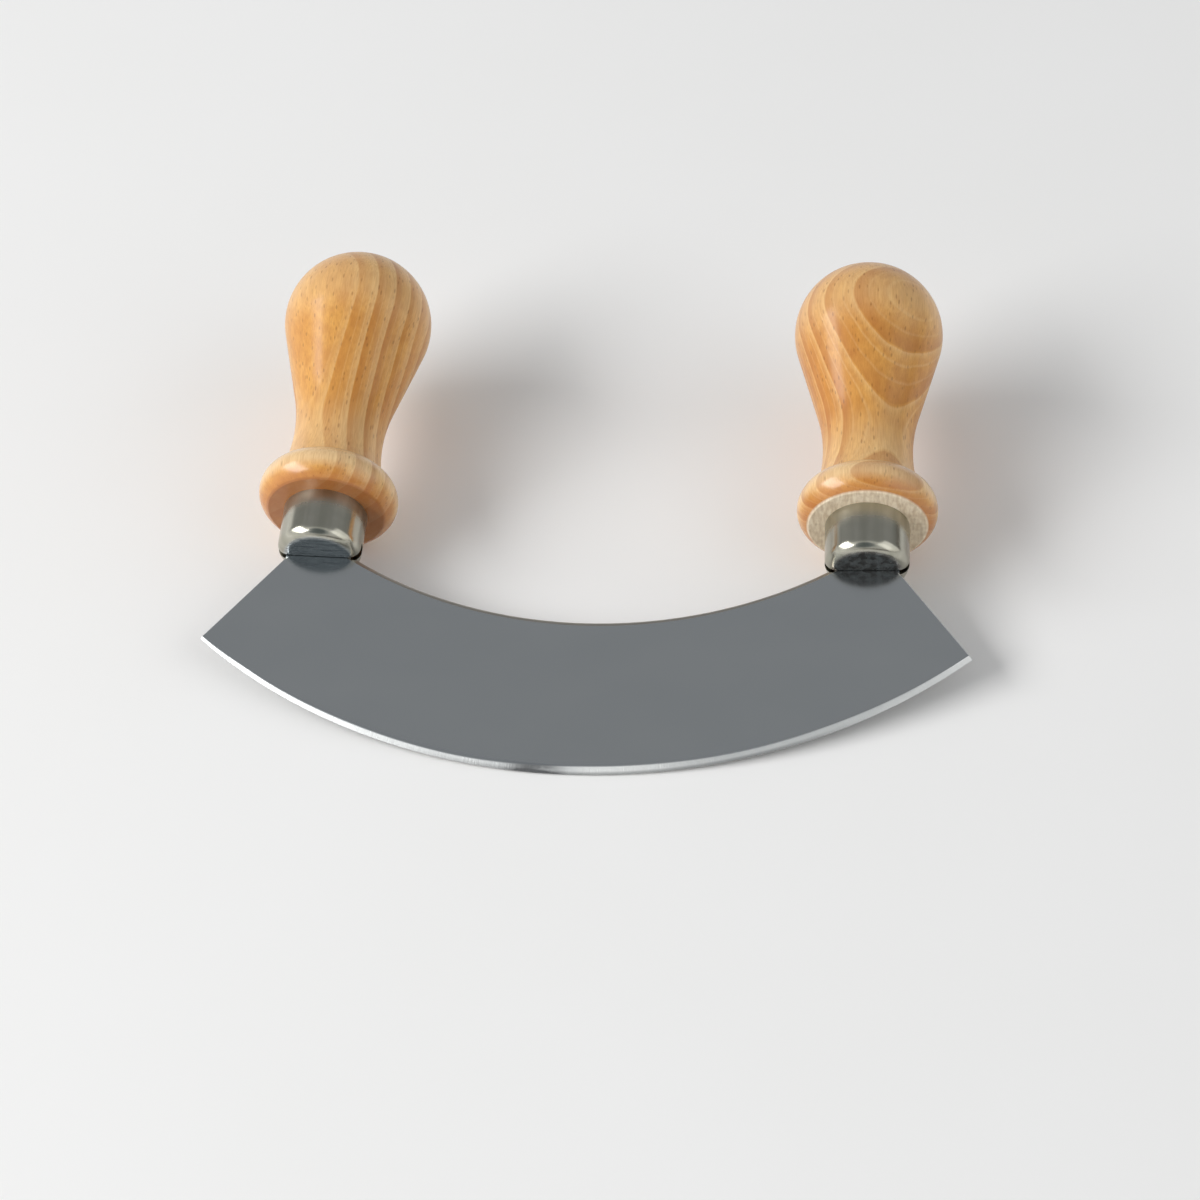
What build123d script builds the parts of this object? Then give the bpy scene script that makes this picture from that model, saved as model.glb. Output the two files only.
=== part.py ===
"""A single-blade mezzaluna: a crescent of stainless sheet with a turned beech handle at each end.

Each end of the blade runs out into a neck and a flat tang. The tang lies in a drilled blind bore
in the handle, bedded in resin, and its notches key into that resin. A pressed steel cup, the
ferrule, is pushed over the handle's tenon. Its closed end is slotted, so the neck passes through
it and the neck's shoulders bear on the end of the tenon: the push of the hands goes down the
handles, through the tenons and into the blade.

The part lies as it does on a table, on the two collars and the heel of the bevel, halfway along
the cutting edge. The origin is on the table, under the middle of the overall box. +X runs from
the left handle to the right one, +Y from the cutting edge towards the handles' bulbs, and +Z is
up. Millimetres.
"""

import os
from math import acos, asin, atan2, cos, degrees, hypot, radians, sin, sqrt, tan

from build123d import *

os.makedirs("parts", exist_ok=True)

# Blade: one stamped and ground sheet, crescent, necks and tangs together
blade_chord = 166.0  # straight across, from tip to tip
edge_arc_radius = 124.0  # the cutting edge is one arc, so the blade rocks
blade_depth = 38.4  # from the cutting edge to the spine, halfway along
spine_arc_radius = 95.0  # the spine is hollowed by one arc as well
blade_thickness = 1.5
bevel_width = 1.9  # the ground bevel halfway along the edge, on both faces
bevel_tip_share = 0.5  # of that, what is left of it at the tips
edge_land = 0.1  # what the stone leaves at the very edge
arris_radius = 0.4  # polished off the spine and the two ends

# Handles' places on the blade
handle_spacing_share = 0.72  # of the chord: between the handles' axes, where ferrules begin
ferrule_rise = 54.0  # from the lowest point of the edge up to the ferrules' closed ends
toe_in = 2.0  # degrees that each handle leans towards the other one

# Neck and tang
neck_width = 14.0
neck_relief = 0.1  # ground off each face of the neck and the tang, to slip through the slot
neck_clear = 0.6  # the neck shows this much in front of the ferrule
shoulder_depth = 3.6  # the neck's length inside the ferrule
tang_width = 6.0
tang_end_width = 4.2
tang_length = 42.0  # from the shoulders to the tip of its point
tang_point = 4.0  # the pointed stretch at its end
notch_depth = 0.6
notch_width = 1.8
notch_count = 4

# Ferrule: a drawn cup of plated steel
ferrule_radius = 9.2
ferrule_wall = 0.6
ferrule_round = 2.7  # outside corner at the closed end
ferrule_length = 12.0
slot_clearance = 0.05  # on each side of the blade's thickness
slot_spare = 0.4  # the slot reaches this far past the shoulders

# Handle: beech, turned in one piece
collar_radius = 15.4  # the fullest point of the collar, which the part lies on
collar_round = 5.0  # radius of the collar's own bead
collar_front_share = 0.88  # of that radius: from the front face back to the fullest point
collar_back_share = 0.96  # of that radius: from the fullest point back to the waist's start
waist_radius = 9.9
waist_reach = 20.0  # from the front face back to the narrowest point
waist_arc_share = 0.62  # of the largest arc that still meets the bulb
bulb_radius = 16.5
bulb_reach = 52.7  # from the front face back to the bulb's centre
tenon_chamfer = 0.5
bore_clearance = 0.5  # around the tang's corners
bore_spare = 3.0  # the bore goes this far past the tang's tip
drill_point_angle = 118.0

cut_overrun = 5.0  # how far every cutting tool runs past what it cuts

# Worked out from the sizes above
handle_spacing = handle_spacing_share * blade_chord
tang_thickness = blade_thickness - 2 * neck_relief
tip_angle = asin(blade_chord / 2 / edge_arc_radius)
tip_rise = edge_arc_radius * (1 - cos(tip_angle))
heel_tip_radius = edge_arc_radius - bevel_tip_share * bevel_width
heel_tip_rise = edge_arc_radius - heel_tip_radius * cos(tip_angle) - bevel_width
heel_arc_radius = ((heel_tip_radius * sin(tip_angle)) ** 2 + heel_tip_rise**2) / (2 * heel_tip_rise)
neck_root = ferrule_rise - neck_clear
collar_place = ferrule_length + collar_front_share * collar_round
bead_centre_radius = collar_radius - collar_round
waist_place = ferrule_length + waist_reach
bulb_place = ferrule_length + bulb_reach
tenon_radius = ferrule_radius - ferrule_wall
slot_width = blade_thickness + 2 * slot_clearance
slot_depth = shoulder_depth + slot_spare
bore_radius = hypot(tang_width, tang_thickness) / 2 + bore_clearance


def along_blade(distance):
    """How far up the blade's plane a point lies, given how far along a handle's axis it is."""
    return ferrule_rise + distance * cos(radians(toe_in))


def lean(back, below):
    """The blade's angle to the table if one of its points touches it along with the collars."""
    run = along_blade(collar_place) - back
    drop = bead_centre_radius - below
    return degrees(atan2(drop, run) + asin(collar_round / hypot(run, drop)))


# The points that may touch: the edge's lower corner, and the bevel's heel behind it
touch_points = ((0, edge_land / 2), (bevel_width, blade_thickness / 2))
lie_angle = min(lean(back, below) for back, below in touch_points)
lie_sin = sin(radians(lie_angle))
lie_cos = cos(radians(lie_angle))
edge_height = max(below * lie_cos - back * lie_sin for back, below in touch_points)
overall_depth = along_blade(bulb_place) * lie_cos + bulb_radius

# The blade's middle plane: x along the chord, y towards the bulbs, origin on the cutting edge
blade_plane = Plane(
    origin=(0, -overall_depth / 2, edge_height),
    x_dir=(1, 0, 0),
    z_dir=(0, -lie_sin, lie_cos),
)


def handle_plane(side):
    """The blade's plane with its origin at one ferrule's closed end and y along the handle."""
    seat_plane = Plane(
        origin=blade_plane.from_local_coords((side * handle_spacing / 2, ferrule_rise, 0)),
        x_dir=blade_plane.x_dir,
        z_dir=blade_plane.z_dir,
    )
    return seat_plane.rotated((0, 0, side * toe_in))


def turning_axis(plane):
    """The axis that a handle, its bore and its ferrule are turned about."""
    return Axis(plane.origin, plane.y_dir)


def crescent_outline():
    """The blade's face: cutting arc, two straight ends and the spine's arc."""
    lean_out = neck_width / 2 * sin(radians(toe_in))
    tip = (blade_chord / 2, tip_rise)
    heel = ((handle_spacing + neck_width) / 2, neck_root + lean_out)
    hollow = blade_depth + spine_arc_radius - (neck_root - lean_out)
    spine_end = (sqrt(spine_arc_radius**2 - hollow**2), neck_root - lean_out)
    with BuildSketch() as outline:
        with BuildLine():
            ThreePointArc((-tip[0], tip[1]), (0, 0), tip)
            Line(tip, heel)
            Line(heel, spine_end)
            ThreePointArc(spine_end, (0, blade_depth), (-spine_end[0], spine_end[1]))
            Line((-spine_end[0], spine_end[1]), (-heel[0], heel[1]))
            Line((-heel[0], heel[1]), (-tip[0], tip[1]))
        make_face()
    return outline.sketch


def tang_half_width(distance):
    """Half the tang's width at a distance from the shoulders, along its taper."""
    taper_length = tang_length - tang_point
    return (tang_width + (tang_end_width - tang_width) * distance / taper_length) / 2


def tang_outline():
    """The neck, from inside the blade to its shoulders, and the notched tang up to its point."""
    root = -neck_width / 2
    with BuildSketch() as outline:
        with BuildLine():
            Polyline(
                (-neck_width / 2, root),
                (neck_width / 2, root),
                (neck_width / 2, shoulder_depth),
                (tang_half_width(0), shoulder_depth),
                (tang_end_width / 2, shoulder_depth + tang_length - tang_point),
                (0, shoulder_depth + tang_length),
                (-tang_end_width / 2, shoulder_depth + tang_length - tang_point),
                (-tang_half_width(0), shoulder_depth),
                (-neck_width / 2, shoulder_depth),
                close=True,
            )
        make_face()
        # Notches filed into both edges, evenly spaced along the taper
        pitch = (tang_length - tang_point) / (notch_count + 1)
        for step in range(1, notch_count + 1):
            for edge in (-1, 1):
                at = (edge * tang_half_width(step * pitch), shoulder_depth + step * pitch)
                with BuildLine(mode=Mode.PRIVATE) as notch:
                    Polyline(
                        (at[0] + edge * notch_depth, at[1] - notch_width),
                        (at[0] - edge * notch_depth, at[1]),
                        (at[0] + edge * notch_depth, at[1] + notch_width),
                        close=True,
                    )
                make_face(notch.edges(), mode=Mode.SUBTRACT)
    return outline.sketch


def ferrule_section():
    """Half the section of the cup: closed end on the x axis, open end towards the handle."""
    inner_round = ferrule_round - ferrule_wall
    with BuildSketch() as section:
        with BuildLine():
            Line((0, ferrule_wall), (0, 0))
            Line((0, 0), (ferrule_radius - ferrule_round, 0))
            RadiusArc(
                (ferrule_radius - ferrule_round, 0),
                (ferrule_radius, ferrule_round),
                -ferrule_round,
            )
            Line((ferrule_radius, ferrule_round), (ferrule_radius, ferrule_length))
            Line((ferrule_radius, ferrule_length), (tenon_radius, ferrule_length))
            Line((tenon_radius, ferrule_length), (tenon_radius, ferrule_round))
            RadiusArc(
                (tenon_radius, ferrule_round),
                (tenon_radius - inner_round, ferrule_wall),
                inner_round,
            )
            Line((tenon_radius - inner_round, ferrule_wall), (0, ferrule_wall))
        make_face()
    return section.sketch


def handle_section():
    """Half the section of the turned handle: tenon, front face, collar, waist and bulb."""
    face_radius = bead_centre_radius + collar_round * sqrt(1 - collar_front_share**2)
    step_place = collar_place + collar_back_share * collar_round
    step_radius = bead_centre_radius + collar_round * sqrt(1 - collar_back_share**2)

    # The waist's arc and the bulb's, joined by the straight line that touches both
    full_arc = (waist_radius**2 + (bulb_reach - waist_reach) ** 2 - bulb_radius**2) / (
        2 * (bulb_radius - waist_radius)
    )
    waist_arc = waist_arc_share * full_arc
    waist_centre = Vector(waist_radius + waist_arc, waist_place)
    bulb_centre = Vector(0, bulb_place)
    between = bulb_centre - waist_centre
    swing = degrees(acos((waist_arc + bulb_radius) / between.length))
    towards = between.normalized().rotate(Axis.Z, swing)
    waist_end = waist_centre + towards * waist_arc
    bulb_start = bulb_centre - towards * bulb_radius
    waist_start = waist_centre - Vector(
        sqrt(waist_arc**2 - (waist_place - step_place) ** 2), waist_place - step_place
    )

    with BuildSketch() as section:
        with BuildLine():
            Polyline(
                (0, shoulder_depth),
                (tenon_radius - tenon_chamfer, shoulder_depth),
                (tenon_radius, shoulder_depth + tenon_chamfer),
                (tenon_radius, ferrule_length),
                (face_radius, ferrule_length),
            )
            ThreePointArc(
                (face_radius, ferrule_length),
                (collar_radius, collar_place),
                (step_radius, step_place),
            )
            Line((step_radius, step_place), waist_start)
            ThreePointArc(waist_start, (waist_radius, waist_place), waist_end)
            Line(waist_end, bulb_start)
            RadiusArc(bulb_start, (0, bulb_place + bulb_radius), -bulb_radius)
            Line((0, bulb_place + bulb_radius), (0, shoulder_depth))
        make_face()
    return section.sketch


def bore_section(mouth_spare):
    """Half the section of the drilled bore, from its mouth to the cone that the drill leaves."""
    bore_end = shoulder_depth + tang_length + bore_spare
    cone = bore_radius / tan(radians(drill_point_angle / 2))
    with BuildSketch() as section:
        with BuildLine():
            Polyline(
                (0, shoulder_depth - mouth_spare),
                (bore_radius, shoulder_depth - mouth_spare),
                (bore_radius, bore_end),
                (0, bore_end + cone),
                close=True,
            )
        make_face()
    return section.sketch


# What the grinding leaves of a sheet: a disc whose rim is bevelled on both faces. The bevels'
# heel is an arc of its own, so they narrow from the middle of the edge towards the tips.
with BuildPart() as ground_disc:
    with BuildSketch(blade_plane.offset(-edge_land / 2)):
        with Locations((0, edge_arc_radius)):
            Circle(edge_arc_radius)
    extrude(amount=edge_land)
    for face in (-1, 1):
        with BuildSketch(blade_plane.offset(face * edge_land / 2)):
            with Locations((0, edge_arc_radius)):
                Circle(edge_arc_radius)
        with BuildSketch(blade_plane.offset(face * blade_thickness / 2)):
            with Locations((0, bevel_width + heel_arc_radius)):
                Circle(heel_arc_radius)
        loft()

# The blade is stamped from sheet, its arrises are polished off, then its edge is ground
with BuildPart() as blade:
    with BuildSketch(blade_plane.offset(-blade_thickness / 2)):
        add(crescent_outline())
    extrude(amount=blade_thickness)

    # Spine and ends lose their sharp arrises, the cutting arc keeps its own for the bevel
    spine = blade.faces().filter_by(GeomType.CYLINDER).sort_by(SortBy.AREA)[0]
    left_end, *_, right_end = blade.faces().filter_by(GeomType.PLANE).sort_by(Axis.X)
    arrises = spine.edges().filter_by(GeomType.CIRCLE)
    for end in (left_end, right_end):
        arrises += end.edges().sort_by(SortBy.LENGTH)[-2:]
    fillet(arrises, radius=arris_radius)

    add(ground_disc.part, mode=Mode.INTERSECT)

    for side in (-1, 1):
        with BuildSketch(handle_plane(side).offset(-tang_thickness / 2)):
            add(tang_outline())
        extrude(amount=tang_thickness)
blade.part.label = "blade"
export_step(blade.part, "parts/blade.step")

for side, name in ((-1, "left"), (1, "right")):
    seat = handle_plane(side)
    axis = turning_axis(seat)

    with BuildPart() as ferrule:
        with BuildSketch(seat):
            add(ferrule_section())
        revolve(axis=axis)
        # The slot is sawn right across the closed end and up both sides of the cup
        with BuildSketch(seat.offset(-slot_width / 2)):
            with Locations((0, (slot_depth - cut_overrun) / 2)):
                Rectangle(2 * (ferrule_radius + cut_overrun), slot_depth + cut_overrun)
        extrude(amount=slot_width, mode=Mode.SUBTRACT)
    ferrule.part.label = f"ferrule_{name}"
    export_step(ferrule.part, f"parts/ferrule_{name}.step")

    with BuildPart() as handle:
        with BuildSketch(seat):
            add(handle_section())
        revolve(axis=axis)
        with BuildSketch(seat):
            add(bore_section(cut_overrun))
        revolve(axis=axis, mode=Mode.SUBTRACT)
    handle.part.label = f"handle_{name}"
    export_step(handle.part, f"parts/handle_{name}.step")

    with BuildPart() as bedding:
        with BuildSketch(seat):
            add(bore_section(0))
        revolve(axis=axis)
        add(blade.part, mode=Mode.SUBTRACT)
    bedding.part.label = f"tang_bedding_{name}"
    export_step(bedding.part, f"parts/tang_bedding_{name}.step")

print("lies at", round(lie_angle, 2), "degrees, overall depth", round(overall_depth, 1))
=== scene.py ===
"""The mezzaluna as it looks: polished steel, nickel-plated cups, varnished beech, a pale floor.

The frame's own solids are shown, each with its finish. A finish is worked out in millimetres,
from its piece's own corner or axis. All else is in metres.
"""

from math import radians

import bpy
from mathutils import Matrix, Vector

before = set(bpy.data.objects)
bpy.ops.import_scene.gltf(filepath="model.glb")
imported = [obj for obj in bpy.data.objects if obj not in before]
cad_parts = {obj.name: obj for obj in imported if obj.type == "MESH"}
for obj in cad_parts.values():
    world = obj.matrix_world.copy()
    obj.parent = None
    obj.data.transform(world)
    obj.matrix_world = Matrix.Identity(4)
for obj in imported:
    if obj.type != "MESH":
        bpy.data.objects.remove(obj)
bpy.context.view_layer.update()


# Blade: one crescent of stainless sheet, stamped, then polished to a soft mirror on both flats.
# Its convex edge is ground to a narrow bevel on each side, and the grinding lines run square to
# the edge. Neck and tang go on from it into the ferrules and handles.
millimetre = 0.001
lie_angle = radians(12.1655)  # the blade leans back on the two collars
blade_turn = Matrix.Rotation(lie_angle, 3, "X")
edge_middle = Vector((0, -66.248, 0.333)) * millimetre  # the cutting arc's lowest point
edge_arc_radius = 124.0
blade_depth = 38.4  # from edge to spine, halfway along
spine_arc_radius = 95.0
spine_centre = blade_depth + spine_arc_radius  # up the blade from the lowest point
roll_width = 0.85  # how far in the press rolled the spine over
roll_slope = 0.577
bevel_width = 1.9  # halfway along the edge
heel_arc_radius = 125.895  # the bevel's heel, an arc that comes nearer to the edge at the tips
heel_centre = bevel_width + heel_arc_radius
ground_width_left = 0.52  # at the left tip. The bevel is polished over from here to the heel
ground_width_changes = (  # how much wider, and from where to where along the edge
    (0.35, -90, -76),
    (0.25, -75, -45),
    (0.53, -28, 4),
    (-0.20, 10, 40),
    (-0.35, 52, 84),
)
turned_back_share = 0.85  # how far polishing over turned the bevel back towards the flat
stain_middle = -8.5  # along the edge
stain_reach = 8.5
polish_line_length, polish_line_width, polish_line_height = 25, 0.14, 0.0012
smear_length, smear_width = 19, 12
grind_line_length, grind_line_width, grind_line_height = 3.5, 0.3, 0.08
grind_patch_length, grind_patch_width = 7, 2.5


class Reading:
    """A value, colour or direction that a finish works out at each point of a surface."""

    def __init__(self, tree, socket):
        self.tree = tree
        self.socket = socket

    def node(self, kind, settings=None, feeds=None, gives=0):
        """Adds a node, makes its settings, feeds its sockets, and returns what it gives."""
        added = self.tree.nodes.new(kind)
        for name, value in (settings or {}).items():
            setattr(added, name, value)
        for name, value in (feeds or {}).items():
            if isinstance(value, Reading):
                self.tree.links.new(value.socket, added.inputs[name])
            else:
                added.inputs[name].default_value = value
        return Reading(self.tree, added.outputs[gives])

    def beside(self, name):
        """Another thing that the same node gives."""
        return Reading(self.tree, self.socket.node.outputs[name])

    def maths(self, operation, *numbers):
        return self.node("ShaderNodeMath", {"operation": operation}, dict(enumerate(numbers)))

    def __add__(self, other):
        return self.maths("ADD", self, other)

    __radd__ = __add__

    def __sub__(self, other):
        return self.maths("SUBTRACT", self, other)

    def __rsub__(self, other):
        return self.maths("SUBTRACT", other, self)

    def __mul__(self, other):
        return self.maths("MULTIPLY", self, other)

    __rmul__ = __mul__

    def __truediv__(self, other):
        return self.maths("DIVIDE", self, other)

    def __pow__(self, other):
        return self.maths("POWER", self, other)

    def away_from(self, other):
        """The distance between two numbers."""
        return self.maths("ABSOLUTE", self - other)

    def straight(self, other):
        """The straight distance that two distances at right angles make."""
        return (self * self + other * other) ** 0.5

    def turn_with(self, other):
        """The angle, in radians, that two distances at right angles make, from the second."""
        return self.maths("ARCTAN2", self, other)

    def rising(self, low, high):
        """0 up to low, 1 from high on, and smooth between them."""
        feeds = {"Value": self, "From Min": low, "From Max": high}
        return self.node("ShaderNodeMapRange", {"interpolation_type": "SMOOTHSTEP"}, feeds)

    def tinted(self, low, high):
        """The colour or direction low where this is 0, and high where it is 1."""
        return self.node("ShaderNodeMix", {"data_type": "RGBA"}, {0: self, 6: low, 7: high}, 2)

    def parts(self):
        """The three numbers of a place or direction."""
        split = self.node("ShaderNodeSeparateXYZ", feeds={0: self})
        return split, split.beside("Y"), split.beside("Z")

    def joined(self, x, y, z):
        return self.node("ShaderNodeCombineXYZ", feeds={0: x, 1: y, 2: z})

    def seen_from(self, place, turn, unit=millimetre):
        """A place, told in units along the axes of a frame that is placed and turned."""
        feeds = {
            "Vector": self,
            "Location": place,
            "Rotation": turn.to_euler("XYZ"),
            "Scale": (unit, unit, unit),
        }
        return self.node("ShaderNodeMapping", {"vector_type": "TEXTURE"}, feeds)

    def cloudy(self, x, y, z, detail):
        """Soft noise from 0 to 1, in patches about 1 long. A fixed number picks a slice of it."""
        feeds = {"Vector": self.joined(x, y, z), "Scale": 1.0, "Detail": detail}
        return self.node("ShaderNodeTexNoise", {"noise_dimensions": "3D"}, feeds)

    def bumped(self):
        """The surface's direction where this many millimetres stand on it."""
        feeds = {"Height": self, "Strength": 1.0, "Distance": millimetre}
        return self.node("ShaderNodeBump", feeds=feeds)

    def in_world(self):
        """A direction on the piece, told in the world, so that the finish turns with the piece."""
        settings = {"vector_type": "NORMAL", "convert_from": "OBJECT", "convert_to": "WORLD"}
        return self.node("ShaderNodeVectorTransform", settings, {0: self})

    def full_length(self):
        """A direction brought back to its full length."""
        return self.node("ShaderNodeVectorMath", {"operation": "NORMALIZE"}, {0: self})


def shade(red, green, blue):
    """A colour from 0 to 255 a channel, as the shaders want it."""
    channels = [value / 255 for value in (red, green, blue)]
    linear = [v / 12.92 if v <= 0.04045 else ((v + 0.055) / 1.055) ** 2.4 for v in channels]
    return (*linear, 1.0)


def begin_finish(name):
    """A new material: itself, its shader, and the place of the point that is shaded."""
    material = bpy.data.materials.new(name)
    material.use_nodes = True
    tree = material.node_tree
    shader = tree.nodes["Principled BSDF"]
    place = Reading(tree, tree.nodes.new("ShaderNodeTexCoord").outputs["Object"])
    return material, shader, place


def feed(shader, readings):
    """Links each reading to the shader's socket of its name."""
    for name, reading in readings.items():
        reading.tree.links.new(reading.socket, shader.inputs[name])


def dress(node_name, material):
    """Puts a finish on one of the frame's solids."""
    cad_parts[node_name].material_slots[0].material = material


flat_clean, flat_smeared = shade(190, 194, 196), shade(197, 200, 201)
ground_dull, ground_bright = shade(205, 207, 206), shade(224, 225, 224)
# A painted highlight for the bevel right of the middle
painted_highlight_steel = shade(242, 243, 241)
stained_steel = shade(104, 105, 106)
polished_bevel = shade(176, 180, 183)
# A painted highlight for the spine's rolled arrises
spine_painted_highlight = shade(204, 199, 190)


def make_blade_steel():
    material, shader, place = begin_finish("blade_steel_polished")
    x, up, out = place.seen_from(edge_middle, blade_turn).parts()
    from_centre = x.straight(edge_arc_radius - up)
    from_edge = edge_arc_radius - from_centre
    along_edge = x.turn_with(edge_arc_radius - up) * edge_arc_radius
    from_heel = x.straight(heel_centre - up) - heel_arc_radius
    from_spine = x.straight(spine_centre - up) - spine_arc_radius
    bevel = from_heel.rising(-0.03, 0.03)

    # The sheet was rolled and polished along the chord, and hands have left faint smears. The
    # press rolled the spine's two arrises over, and their paler colour is a painted highlight
    polish_lines = place.cloudy(x / polish_line_length, up / polish_line_width, 0.0, detail=3.0)
    smears = place.cloudy(x / smear_length, up / smear_width, 3.0, detail=4.0)
    rolled = 1 - from_spine.rising(roll_width - 0.1, roll_width + 0.1)
    flat_colour = smears.tinted(flat_clean, flat_smeared)
    flat_colour = rolled.tinted(flat_colour, spine_painted_highlight)
    flat_rough = 0.15 + 0.05 * smears + 0.03 * polish_lines + 0.25 * rolled

    # The bevel was ground square to the edge. The very edge is darker, partly dull from use and
    # partly painted shade where it meets the floor. Juice has stained it left of the middle, and
    # right of the middle it carries a painted highlight
    grind_lines = place.cloudy(
        along_edge / grind_line_width, from_centre / grind_line_length, 7.0, detail=3.0
    )
    grind_patches = place.cloudy(
        along_edge / grind_patch_length, from_centre / grind_patch_width, 11.0, detail=3.0
    )
    stain = 1 - along_edge.away_from(stain_middle).rising(1.0, stain_reach)
    stain = stain * grind_patches.rising(0.2, 0.5)
    # The very edge is darker: partly dull from use, partly painted shade where it meets the floor
    edge_dulled_and_shaded = (1 - from_edge.rising(0.1, 0.8)) * along_edge.rising(-45, 0)
    edge_dulled_and_shaded = edge_dulled_and_shaded * (1 - along_edge.rising(40, 68))
    # Right of the middle: a painted highlight on the bevel
    bevel_painted_highlight = along_edge.rising(-4, 6) * (1 - along_edge.rising(12, 30))
    bevel_colour = grind_patches.tinted(ground_dull, ground_bright)
    bevel_colour = bevel_painted_highlight.tinted(bevel_colour, painted_highlight_steel)
    bevel_colour = (stain * 0.9 + edge_dulled_and_shaded * 0.55).tinted(bevel_colour, stained_steel)

    # Towards its heel the bevel was polished over again with the flat, which turned its slope
    # back: its direction there is nearly the flat's, on the upper side and the lower one alike
    ground_width = ground_width_left + sum(
        wider * along_edge.rising(start, end) for wider, start, end in ground_width_changes
    )
    polished_over = (from_edge - ground_width).rising(-0.2, 0.2)
    bevel_colour = (polished_over * 0.9).tinted(bevel_colour, polished_bevel)
    bevel_rough = 0.46 + 0.12 * grind_lines - 0.22 * polished_over
    turned_back = from_heel.rising(-0.35, -0.15) * polished_over * turned_back_share
    flat_side = out.maths("SIGN", out)
    flat_facing = blade_turn @ Vector((0, 0, 1))
    flat_direction = place.joined(*(flat_side * part for part in flat_facing)).in_world()

    height = (1 - bevel) * polish_lines * polish_line_height
    ground = from_heel.rising(0.0, 0.3) * (1 - polished_over)
    height = height + ground * (grind_lines - 0.5) * grind_line_height
    height = height + from_spine.maths("MINIMUM", from_spine, roll_width) * roll_slope
    feed(shader, {
        "Base Color": bevel.tinted(flat_colour, bevel_colour),
        "Roughness": flat_rough + bevel * (bevel_rough - flat_rough),
        "Normal": turned_back.tinted(height.bumped(), flat_direction).full_length(),
    })
    shader.inputs["Metallic"].default_value = 1.0
    return material


dress("blade", make_blade_steel())


# Ferrules: cups drawn from thin steel and nickel plated, pushed over the handles' tenons. The
# closed end is slotted for the blade's neck. The drawing left faint lines along the wall, which
# also carries soft bands of painted reflection. The closed end is darker in streaks and patches.
handle_spacing = 119.52  # between the handles' axes at the closed ends
ferrule_rise = 54.0  # from the lowest point of the edge up to the closed ends
toe_in = radians(2.0)
sides = {"left": -1, "right": 1}
lines_round, draw_line_length, draw_line_height = 24, 14, 0.004  # as many lines to a radian
reflection_bands_round, reflection_band_length = 3.2, 60
dull_patch = 4
streak_length, streak_width = 6, 0.35
end_patch_length, end_patch_width = 1.8, 1.6
nickel_grey, nickel_pale = shade(176, 174, 160), shade(196, 193, 181)
# The colour of the painted reflection bands on the wall
nickel_painted_reflection = shade(142, 142, 126)


def seat_place(side):
    """Where one handle's axis meets its ferrule's closed end, in metres."""
    in_blade = Vector((side * handle_spacing / 2, ferrule_rise, 0)) * millimetre
    return edge_middle + blade_turn @ in_blade


def seat_turn(side):
    """The frame of one handle: x across, y back along its axis, z out of the blade's plane."""
    return blade_turn @ Matrix.Rotation(side * toe_in, 3, "Z")


def make_ferrule_nickel(side_name, end_streaks, end_patches, end_plain, end_dark_tone):
    """Nickel plating, and how much of its closed end is darkened in streaks and in patches."""
    side = sides[side_name]
    material, shader, place = begin_finish(f"ferrule_nickel_{side_name}")
    x, back, out = place.seen_from(seat_place(side), seat_turn(side)).parts()
    around = x.turn_with(out)
    draw_lines = place.cloudy(
        around * lines_round, back / draw_line_length, side * 5.0, detail=3.0
    )
    dull_patches = place.cloudy(x / dull_patch, back / dull_patch, out / dull_patch, detail=3.0)
    reflection_bands = place.cloudy(around * reflection_bands_round, back / reflection_band_length, side * 7.0, detail=2.0)
    closed_end = 1 - back.rising(0.02, 0.4)
    streaks = place.cloudy(x / streak_length, 2.0, out / streak_width, detail=3.0)
    patches = place.cloudy(x / end_patch_length, 1.0, out / end_patch_width, detail=3.0)
    # The closed end is darker in streaks and in patches
    end_darkening = end_streaks * streaks.rising(0.36, 0.64) + end_patches * patches.rising(0.34, 0.62)
    end_darkening = closed_end * end_darkening
    hidden_wall = back.rising(6, 11)  # fingers and cloths don't reach under the collar

    plating = dull_patches.tinted(nickel_grey, nickel_pale)
    # Soft bands of painted reflection round the wall
    plating = ((1 - closed_end) * reflection_bands.rising(0.35, 0.65) * 0.35).tinted(plating, nickel_painted_reflection)
    plating = closed_end.tinted(plating, end_plain)
    roughness = 0.15 + 0.06 * dull_patches + 0.04 * draw_lines + 0.12 * end_darkening
    feed(shader, {
        "Base Color": end_darkening.tinted(plating, end_dark_tone),
        "Roughness": roughness + 0.14 * hidden_wall,
        "Normal": (draw_lines * draw_line_height).bumped(),
    })
    shader.inputs["Metallic"].default_value = 1.0
    return material


dress("ferrule_left", make_ferrule_nickel(
    "left", end_streaks=0.7, end_patches=0.0,
    end_plain=shade(210, 214, 214), end_dark_tone=shade(112, 118, 123),
))
dress("ferrule_right", make_ferrule_nickel(
    "right", end_streaks=0.1, end_patches=0.8,
    end_plain=shade(186, 183, 178), end_dark_tone=shade(88, 82, 77),
))


# Handles: beech, each turned in one piece and dipped in clear gloss varnish. The left one shows
# its growth rings edge on, the right one lies flat on them, since they run through the whole
# billet, as the short brown flecks do. The right one's front face missed the varnish.
face_back = 12.2  # the front face's rim, along the axis from the ferrule's closed end
crease_back = 21.2  # where collar and waist meet
waist_end = 40  # where the waist has widened into the bulb
rounding_back = 55  # where the bulb begins to round off
handle_end = 65
waver_length, waver_width = 26, 14  # of the rings, along the handle and across it
fibre_length, fibre_width, fibre_height = 6, 0.28, 0.004
mottle_length, mottle_width = 4, 1.6
cloud_length, cloud_width = 17, 9
fleck_length, fleck_width, fleck_depth = 2.8, 0.8, 0.006
ray_length, ray_width = 3.0, 0.7
turning_mark_width, turning_mark_height = 0.35, 0.006
raw_roughening = 0.03  # how deep fibres and flecks stand in bare end grain
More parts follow.
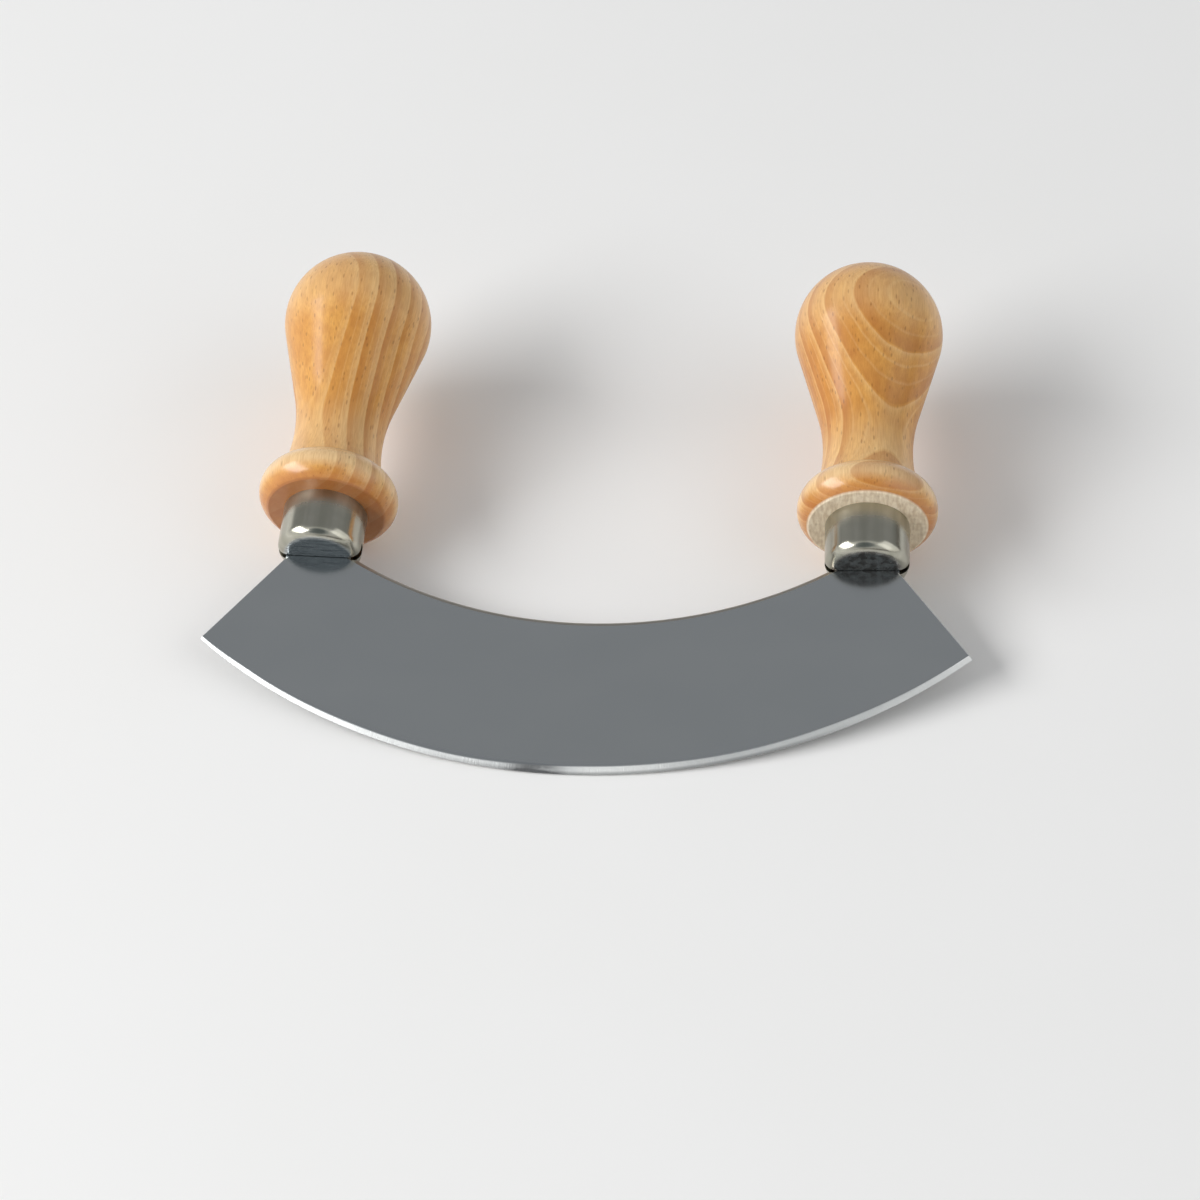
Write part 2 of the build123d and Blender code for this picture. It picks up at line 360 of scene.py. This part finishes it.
beech_pale, beech_honey = shade(225, 167, 84), shade(211, 147, 66)
heart_wood = shade(186, 108, 46)
mottle_brown = shade(186, 120, 52)
# The paler tone of painted sheen and painted light on the varnish
painted_sheen_beech = shade(242, 210, 160)
early_ring, late_ring = shade(172, 100, 42), shade(246, 212, 154)
fibre_brown, fleck_brown = shade(172, 108, 44), shade(120, 66, 26)
# Colours of painted shade in the crease, round the collar's front rim and on the front face
crease_shade_colour, rim_shade_colour = shade(150, 88, 34), shade(184, 106, 44)
face_painted_shade = shade(156, 88, 34)
raw_pale, raw_ray, raw_mottle = shade(250, 234, 208), shade(220, 198, 168), shade(170, 140, 106)


def make_beech(
    side_name, heart_place, heart_run, ring_width, ring_start, first_ring, pale_power, bare_face
):
    """Beech with its rings round the tree's heart line, and none clear inside the first one."""
    side = sides[side_name]
    other_wood = 5.0 * side  # so that the two handles aren't cut from the same spot
    material, shader, place = begin_finish(f"handle_beech_{side_name}")
    along = place.seen_from(seat_place(side), seat_turn(side))
    x, back, out = along.parts()

    # Rings: the distance from the tree's heart, made a little uneven, and counted. Each ring
    # turns pale towards its outer side, where the next one starts sharply with a darker tone
    heart_turn = Vector(heart_run).to_track_quat("Z", "X")
    across, deep, _ = along.seen_from(heart_place, heart_turn, 1.0).parts()
    waver = place.cloudy(
        x / waver_width, back / waver_length, out / waver_width + other_wood, detail=3.0
    )
    rings = across.straight(deep) / ring_width + ring_start + (waver - 0.5) * 0.3
    ring_number = rings.maths("FLOOR", rings)
    in_ring = rings - ring_number
    ring_luck = place.node(
        "ShaderNodeTexWhiteNoise", {"noise_dimensions": "1D"}, {"W": ring_number}
    )
    clear = rings.rising(first_ring, first_ring + 1.5)
    ring_pale = clear * in_ring ** pale_power * (1 - in_ring.rising(0.96, 1.0))
    thin_line = in_ring.rising(0.66, 0.70) * (1 - in_ring.rising(0.70, 0.76))
    thin_line = thin_line + 0.7 * in_ring.rising(0.32, 0.36) * (1 - in_ring.rising(0.36, 0.42))
    ring_dark = clear * (1 - in_ring.rising(0.05, 0.6)) * in_ring.rising(0.0, 0.03)

    # Fibres, mottle and flecks, drawn out along the axis
    fibres = place.cloudy(x / fibre_width, back / fibre_length, out / fibre_width, detail=4.0)
    mottle = place.cloudy(
        x / mottle_width, back / mottle_length, out / mottle_width + other_wood, detail=5.0
    )
    clouds = place.cloudy(
        x / cloud_width, back / cloud_length, out / cloud_width + other_wood, detail=2.0
    )
    fleck_place = place.joined(x / fleck_width, back / fleck_length, out / fleck_width)
    fleck_cells = place.node("ShaderNodeTexVoronoi", feeds={"Vector": fleck_place, "Scale": 1.0})
    fleck_luck = place.node(
        "ShaderNodeTexWhiteNoise",
        {"noise_dimensions": "3D"},
        {"Vector": fleck_cells.beside("Position")},
    )
    flecks = (1 - fleck_cells.rising(0.12, 0.34)) * fleck_luck.rising(0.3, 0.9)

    # Waist, collar top and rounded end are painted paler: a painted sheen on the varnish, and on
    # the collar's top painted light
    waist_painted_sheen = back.rising(20.5, 22.5) * (1 - back.rising(27, waist_end))
    collar_painted_light = (1 - back.rising(20.5, 22)) * back.rising(13.6, 16.4)
    end_painted_sheen = back.rising(rounding_back, handle_end)
    near_heart = (1 - rings.rising(5.0, 7.2)) * back.rising(28, waist_end)
    wood = clouds.rising(0.3, 0.7).tinted(beech_pale, beech_honey)
    wood = (near_heart * 0.34).tinted(wood, heart_wood)
    wood = (mottle.rising(0.3, 0.7) * 0.50).tinted(wood, mottle_brown)
    wood = (0.40 * waist_painted_sheen + 0.80 * collar_painted_light + 0.36 * end_painted_sheen).tinted(wood, painted_sheen_beech)
    wood = (ring_dark * (0.18 + 0.30 * ring_luck)).tinted(wood, early_ring)
    wood = (ring_pale * 0.52 + clear * thin_line * 0.20).tinted(wood, late_ring)
    wood = (fibres.rising(0.3, 0.75) * 0.30).tinted(wood, fibre_brown)
    wood = (flecks * 0.42).tinted(wood, fleck_brown)

    # Painted shade: darker in the crease behind the collar, round the collar's front rim and on
    # the front face
    # Painted shade in the crease behind the collar
    crease_painted_shade = 1 - back.away_from(crease_back).rising(0.1, 1.1)
    # Painted shade round the collar's front rim
    rim_painted_shade = 1 - back.rising(face_back + 0.4, face_back + 2.4)
    front_face = 1 - back.rising(face_back - 0.1, face_back + 0.25)
    varnished_and_shaded = (crease_painted_shade * 0.40).tinted(wood, crease_shade_colour)
    varnished_and_shaded = (rim_painted_shade * 0.45).tinted(varnished_and_shaded, rim_shade_colour)
    # Painted shade on the front face where it is varnished
    varnished_and_shaded = (front_face * 0.6).tinted(varnished_and_shaded, face_painted_shade)

    # A bare face shows end grain, with its rays
    rays = place.cloudy(x / ray_width, 4.0, out / ray_length, detail=4.0)
    raw = rays.rising(0.3, 0.7).tinted(raw_pale, raw_ray)
    raw = (mottle.rising(0.4, 0.7) * 0.30).tinted(raw, raw_mottle)
    bare = front_face * bare_face

    turning_marks = place.cloudy(1.0, back / turning_mark_width, side * 3.0, detail=2.0)
    height = fibres * fibre_height + turning_marks * turning_mark_height - flecks * fleck_depth
    height = (1 - bare) * height + bare * (fibres - flecks) * raw_roughening
    feed(shader, {
        "Base Color": bare.tinted(varnished_and_shaded, raw),
        "Roughness": 0.38 + 0.10 * clouds + bare * 0.35,
        "Coat Weight": (0.95 - 0.55 * back.rising(20, 28)) * (1 - bare),
        "Normal": height.bumped(),
    })
    shader.inputs["Coat Roughness"].default_value = 0.20
    shader.inputs["Specular IOR Level"].default_value = 0.25
    return material


dress("handle_left", make_beech(
    "left", heart_place=(-66, 45, 78), heart_run=(0.074, 1, 0.148),
    ring_width=4.05, ring_start=0.15, first_ring=22.0, pale_power=3.0, bare_face=0.0,
))
dress("handle_right", make_beech(
    "right", heart_place=(-8.1, 45, -12.7), heart_run=(-0.108, 1, 0.043),
    ring_width=3.6, ring_start=-0.02, first_ring=-2.0, pale_power=9.0, bare_face=1.0,
))


# Tang beddings: the brown resin that was poured into each drilled bore around the tang. It shows
# only as a dark filling behind the slots.
resin_dark, resin_pale = shade(74, 48, 30), shade(104, 70, 44)
resin_mottle = 3 * millimetre


def make_resin():
    material, shader, place = begin_finish("tang_resin_brown")
    x, y, z = place.parts()
    mottle = place.cloudy(x / resin_mottle, y / resin_mottle, z / resin_mottle, detail=3.0)
    feed(shader, {
        "Base Color": mottle.tinted(resin_dark, resin_pale),
        "Roughness": 0.5 + 0.2 * mottle,
        "Normal": (mottle * 0.1).bumped(),
    })
    return material


resin = make_resin()
for side_name in sides:
    dress(f"tang_bedding_{side_name}", resin)


# Floor: one wide sheet of pale matt paint that the knife lies on. It belongs to the studio, not
# to the knife.
floor_reach = 4.0  # from its middle to each side
floor_grain = 0.08
floor_grey, floor_white = shade(243, 242, 240), shade(246, 245, 244)
corners = [(-1, -1), (1, -1), (1, 1), (-1, 1)]
floor_mesh = bpy.data.meshes.new("floor")
corner_places = [(x * floor_reach, y * floor_reach, 0) for x, y in corners]
floor_mesh.from_pydata(corner_places, [], [(0, 1, 2, 3)])
floor = bpy.data.objects.new("floor", floor_mesh)
bpy.context.scene.collection.objects.link(floor)


def make_floor_paint():
    material, shader, place = begin_finish("floor_paint")
    x, y, _ = place.parts()
    grain = place.cloudy(x / floor_grain, y / floor_grain, 0.0, detail=4.0)
    feed(shader, {"Base Color": grain.tinted(floor_grey, floor_white)})
    shader.inputs["Roughness"].default_value = 0.9
    shader.inputs["Specular IOR Level"].default_value = 0.2
    return material


floor_mesh.materials.append(make_floor_paint())


# Light: a room with a low horizon that is bright on the left and at the back, mid grey overhead
# and paler in front, a soft key lamp from the left, which throws the shadows to the right, and a
# weaker and wider one from the right.
low_room_right, low_room_left = shade(112, 108, 104), shade(255, 255, 255)
low_room_back = shade(248, 247, 246)
overhead, overhead_front = shade(153, 155, 157), shade(214, 215, 216)
viewer_grey = shade(110, 118, 123)
viewer_run = (-0.09, -0.73, 0.677)  # from the knife towards where a viewer stands

world = bpy.data.worlds.new("studio")
bpy.context.scene.world = world
world.use_nodes = True
room_tree = world.node_tree
background = room_tree.nodes["Background"]
direction = Reading(room_tree, room_tree.nodes.new("ShaderNodeTexCoord").outputs["Generated"])
to_right, to_back, height_up = direction.parts()
on_left = (0.0 - to_right).rising(-0.3, 0.8)
in_front = (0.0 - to_back).rising(0.05, 0.35)
low_room = on_left.tinted(low_room_right, low_room_left)
low_room = to_back.rising(0.7, 0.95).tinted(low_room, low_room_back)
high_room = in_front.tinted(overhead, overhead_front)
room = height_up.rising(0.08, 0.28).tinted(low_room, high_room)
# A viewer darkens the room there: the cups' closed ends and the blade mirror it as a corner does
parts_and_run = zip((to_right, to_back, height_up), viewer_run)
to_viewer = sum(part * run for part, run in parts_and_run)
room = to_viewer.rising(0.86, 0.95).tinted(room, viewer_grey)
room_tree.links.new(room.socket, background.inputs["Color"])
background.inputs["Strength"].default_value = 1.0

lamps = {  # place, width, depth and watts
    "key_left": ((-1.50, -0.48, 1.05), 1.8, 0.75, 32.0),
    "fill_right": ((1.60, -0.42, 0.84), 2.0, 1.7, 8.5),
}
lamp_aim = Vector((0, 0, 0.02))
for name, (place, width, depth, watts) in lamps.items():
    lamp = bpy.data.lights.new(name, "AREA")
    lamp.shape = "RECTANGLE"
    lamp.size = width
    lamp.size_y = depth
    lamp.energy = watts
    holder = bpy.data.objects.new(name, lamp)
    holder.location = place
    holder.rotation_euler = (lamp_aim - Vector(place)).to_track_quat("-Z", "Y").to_euler()
    bpy.context.scene.collection.objects.link(holder)


# Camera: a long lens from the front and above, a little to the right, as in the photograph. It
# tips down by 43 degrees.
camera_place = (0.094231, -0.776290, 0.713385)
camera_turns = (47.1435, 2.3524, 4.7510)  # degrees about x, y and z
camera_data = bpy.data.cameras.new("view")
camera_data.lens = 143.97
camera_data.sensor_width = 36.0
camera_data.clip_start = 0.05
camera = bpy.data.objects.new("view", camera_data)
camera.location = camera_place
camera.rotation_euler = [radians(turn) for turn in camera_turns]
bpy.context.scene.collection.objects.link(camera)
bpy.context.scene.camera = camera
bpy.context.scene.view_settings.view_transform = "Standard"
